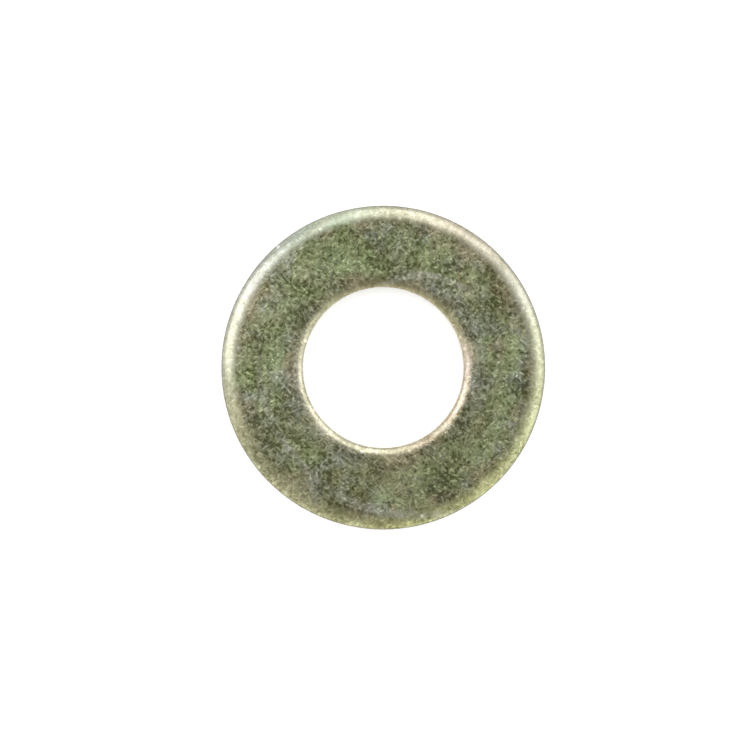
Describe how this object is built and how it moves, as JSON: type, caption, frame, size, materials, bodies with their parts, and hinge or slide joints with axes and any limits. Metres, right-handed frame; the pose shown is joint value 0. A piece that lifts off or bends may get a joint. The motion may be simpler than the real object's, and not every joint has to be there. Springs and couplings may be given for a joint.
{
  "type": "flat washer",
  "caption": "Stamped round flat washer with a plain bolt hole, both edges rolled over on the upper face and square below, in zinc-plated steel with a yellow chromate finish.",
  "frame": {"origin": "centre of the bolt hole, in the plane of the lower bearing face", "axes": "+Z along the bolt hole's axis and out of the rolled upper face; +X and +Y lie in the lower face and are alike, because the washer is round"},
  "size_m": [0.027, 0.027, 0.0024],
  "materials": {
    "yellow_zinc_steel": "low carbon steel, zinc plated, yellow chromate conversion coating, satin with iridescent patches"
  },
  "bodies": {
    "root": {"washer": "yellow_zinc_steel"}
  },
  "joints": []
}
